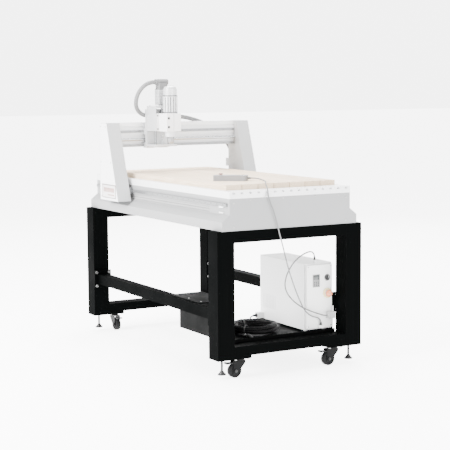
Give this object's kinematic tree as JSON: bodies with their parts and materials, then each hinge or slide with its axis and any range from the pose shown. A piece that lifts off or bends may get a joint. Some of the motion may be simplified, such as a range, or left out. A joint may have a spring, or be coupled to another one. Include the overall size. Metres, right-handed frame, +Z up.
{
  "type": "cnc router",
  "caption": "CNC router with a moving gantry over a T-slot bed with wooden slats, on a rolling steel stand with a controller cabinet and a corded hand pendant.",
  "frame": {"origin": "on the floor, below the middle of the machine", "axes": "+X to the right for someone at the front end, +Y towards the rear along the bed, +Z up"},
  "size_m": [0.972, 1.6971, 1.571],
  "materials": {
    "stand_black": "black semi-matt powder coat",
    "shelf_black": "black folded sheet, semi-matt",
    "zinc_steel": "zinc-plated steel",
    "castor_tyre": "black rubber tyre",
    "pedal_black": "black moulded pedal",
    "machine_pale": "pale grey powder coat",
    "machine_dark": "grey painted folded base",
    "bed_aluminium": "extruded T-slot plate, anodised",
    "spoilboard_wood": "pale board, sanded",
    "rail_steel": "ground rail steel",
    "screw_steel": "rolled ball screw",
    "motor_black": "black motor body",
    "beam_aluminium": "extruded beam, anodised",
    "carriage_aluminium": "milled plate",
    "slide_aluminium": "milled clamp block",
    "spindle_grey": "finned spindle case",
    "collet_steel": "blackened collet nut",
    "hose_grey": "ribbed dark hose",
    "cabinet_white": "white powder coat",
    "panel_pale": "pale grey panel",
    "stop_red": "red moulded mushroom head",
    "knob_black": "black knob",
    "pendant_black": "black moulded case",
    "cord_black": "black cable jacket",
    "plug_black": "black connector shell"
  },
  "bodies": {
    "stand": {"front_end_frame": "stand_black", "rear_end_frame": "stand_black", "left_stretcher": "stand_black", "right_stretcher": "stand_black", "stand_fasteners": "zinc_steel", "controller_shelf": "shelf_black", "castor_top_plates": "zinc_steel", "base_housing": "machine_dark", "t_slot_plate": "bed_aluminium", "spoilboard": "spoilboard_wood", "y_rails": "rail_steel", "y_motor": "motor_black", "controller_cabinet": "cabinet_white", "controller_panel": "panel_pale", "pendant_housing": "pendant_black", "pendant_cord": "cord_black", "loop_lead": "cord_black", "loop_plug": "plug_black", "cable_coil": "cord_black", "coil_tail": "cord_black", "coil_plug": "plug_black"},
    "gantry": {"gantry_left_housing": "machine_pale", "gantry_right_housing": "machine_pale", "gantry_cross_tie": "carriage_aluminium", "y_bearing_blocks": "rail_steel", "gantry_beam": "beam_aluminium", "x_rails": "rail_steel", "x_motor": "motor_black", "gantry_hose": "hose_grey"},
    "carriage": {"x_carriage": "carriage_aluminium", "z_housing": "carriage_aluminium", "z_guide_rods": "rail_steel", "z_motor": "motor_black", "hose_block": "motor_black", "spindle_hose": "hose_grey"},
    "z_slide": {"z_slide_clamp": "slide_aluminium", "spindle_body": "spindle_grey"},
    "spindle": {"collet_nut": "collet_steel"},
    "y_ball_screw": {"y_screw": "screw_steel"},
    "x_ball_screw": {"x_screw": "screw_steel"},
    "z_ball_screw": {"z_screw": "screw_steel"},
    "stop_button": {"estop_button": "stop_red"},
    "selector": {"selector_knob": "knob_black"},
    "pendant_stop": {"pendant_stop_button": "stop_red"},
    "castor_front_left": {"castor_fork_front_left": "zinc_steel"},
    "wheel_front_left": {"castor_wheel_front_left": "castor_tyre"},
    "brake_front_left": {"castor_brake_front_left": "pedal_black"},
    "foot_front_left": {"levelling_foot_front_left": "zinc_steel"},
    "castor_front_right": {"castor_fork_front_right": "zinc_steel"},
    "wheel_front_right": {"castor_wheel_front_right": "castor_tyre"},
    "brake_front_right": {"castor_brake_front_right": "pedal_black"},
    "foot_front_right": {"levelling_foot_front_right": "zinc_steel"},
    "castor_rear_left": {"castor_fork_rear_left": "zinc_steel"},
    "wheel_rear_left": {"castor_wheel_rear_left": "castor_tyre"},
    "brake_rear_left": {"castor_brake_rear_left": "pedal_black"},
    "foot_rear_left": {"levelling_foot_rear_left": "zinc_steel"},
    "castor_rear_right": {"castor_fork_rear_right": "zinc_steel"},
    "wheel_rear_right": {"castor_wheel_rear_right": "castor_tyre"},
    "brake_rear_right": {"castor_brake_rear_right": "pedal_black"},
    "foot_rear_right": {"levelling_foot_rear_right": "zinc_steel"}
  },
  "joints": [
    {"name": "gantry_y", "type": "slide", "parent": "stand", "child": "gantry", "axis": [0, 1, 0], "range_m": [-1, 0.25]},
    {"name": "carriage_x", "type": "slide", "parent": "gantry", "child": "carriage", "axis": [1, 0, 0], "range_m": [-0.155, 0.47], "deforming": ["gantry_hose"]},
    {"name": "z_slide_z", "type": "slide", "parent": "carriage", "child": "z_slide", "axis": [0, 0, 1], "range_m": [-0.078, 0.03]},
    {"name": "spindle_spin", "type": "hinge", "parent": "z_slide", "child": "spindle", "pos_m": [-0.158, 0.246, 1.21], "axis": [0, 0, 1], "continuous": true},
    {"name": "y_screw_spin", "type": "hinge", "parent": "stand", "child": "y_ball_screw", "pos_m": [0, 0, 0.88], "axis": [0, 1, 0], "range_deg": [-18036, 4536]},
    {"name": "x_screw_spin", "type": "hinge", "parent": "gantry", "child": "x_ball_screw", "pos_m": [0, 0.455, 1.209], "axis": [1, 0, 0], "range_deg": [-2826, 8496]},
    {"name": "z_screw_spin", "type": "hinge", "parent": "carriage", "child": "z_ball_screw", "pos_m": [-0.158, 0.358, 1.29], "axis": [0, 0, 1], "range_deg": [-2844, 1116]},
    {"name": "swivel_front_left", "type": "hinge", "parent": "stand", "child": "castor_front_left", "pos_m": [-0.295, -0.792, 0.093], "axis": [0, 0, 1], "continuous": true},
    {"name": "roll_front_left", "type": "hinge", "parent": "castor_front_left", "child": "wheel_front_left", "pos_m": [-0.326, -0.792, 0.0375], "axis": [0, 1, 0], "continuous": true},
    {"name": "brake_front_left_press", "type": "hinge", "parent": "castor_front_left", "child": "brake_front_left", "pos_m": [-0.332, -0.792, 0.0795], "axis": [0, -1, 0], "range_deg": [0, 8]},
    {"name": "foot_front_left_screw", "type": "slide", "parent": "stand", "child": "foot_front_left", "axis": [0, 0, 1], "range_m": [-0.022, 0.03]},
    {"name": "swivel_front_right", "type": "hinge", "parent": "stand", "child": "castor_front_right", "pos_m": [0.295, -0.792, 0.093], "axis": [0, 0, 1], "continuous": true},
    {"name": "roll_front_right", "type": "hinge", "parent": "castor_front_right", "child": "wheel_front_right", "pos_m": [0.264, -0.792, 0.0375], "axis": [0, 1, 0], "continuous": true},
    {"name": "brake_front_right_press", "type": "hinge", "parent": "castor_front_right", "child": "brake_front_right", "pos_m": [0.258, -0.792, 0.0795], "axis": [0, -1, 0], "range_deg": [0, 8]},
    {"name": "foot_front_right_screw", "type": "slide", "parent": "stand", "child": "foot_front_right", "axis": [0, 0, 1], "range_m": [-0.022, 0.03]},
    {"name": "swivel_rear_left", "type": "hinge", "parent": "stand", "child": "castor_rear_left", "pos_m": [-0.295, 0.792, 0.093], "axis": [0, 0, 1], "continuous": true},
    {"name": "roll_rear_left", "type": "hinge", "parent": "castor_rear_left", "child": "wheel_rear_left", "pos_m": [-0.295, 0.761, 0.0375], "axis": [-1, 0, 0], "continuous": true},
    {"name": "brake_rear_left_press", "type": "hinge", "parent": "castor_rear_left", "child": "brake_rear_left", "pos_m": [-0.295, 0.755, 0.0795], "axis": [1, 0, 0], "range_deg": [0, 8]},
    {"name": "foot_rear_left_screw", "type": "slide", "parent": "stand", "child": "foot_rear_left", "axis": [0, 0, 1], "range_m": [-0.022, 0.03]},
    {"name": "swivel_rear_right", "type": "hinge", "parent": "stand", "child": "castor_rear_right", "pos_m": [0.295, 0.792, 0.093], "axis": [0, 0, 1], "continuous": true},
    {"name": "roll_rear_right", "type": "hinge", "parent": "castor_rear_right", "child": "wheel_rear_right", "pos_m": [0.295, 0.761, 0.0375], "axis": [-1, 0, 0], "continuous": true},
    {"name": "brake_rear_right_press", "type": "hinge", "parent": "castor_rear_right", "child": "brake_rear_right", "pos_m": [0.295, 0.755, 0.0795], "axis": [1, 0, 0], "range_deg": [0, 8]},
    {"name": "foot_rear_right_screw", "type": "slide", "parent": "stand", "child": "foot_rear_right", "axis": [0, 0, 1], "range_m": [-0.022, 0.03]},
    {"name": "estop_press", "type": "slide", "parent": "stand", "child": "stop_button", "axis": [0, 1, 0], "range_m": [0, 0.006], "stiffness_N_per_m": 400},
    {"name": "selector_turn", "type": "hinge", "parent": "stand", "child": "selector", "pos_m": [0.296, -0.737, 0.476], "axis": [0, 1, 0], "range_deg": [-45, 45]},
    {"name": "pendant_stop_press", "type": "slide", "parent": "stand", "child": "pendant_stop", "axis": [0, 0, -1], "range_m": [0, 0.004], "stiffness_N_per_m": 300}
  ],
  "couplings": [
    {"joint": "y_screw_spin", "follows": "gantry_y", "rad_per_m": 314.16},
    {"joint": "x_screw_spin", "follows": "carriage_x", "rad_per_m": 314.16},
    {"joint": "z_screw_spin", "follows": "z_slide_z", "rad_per_m": 628.32}
  ]
}
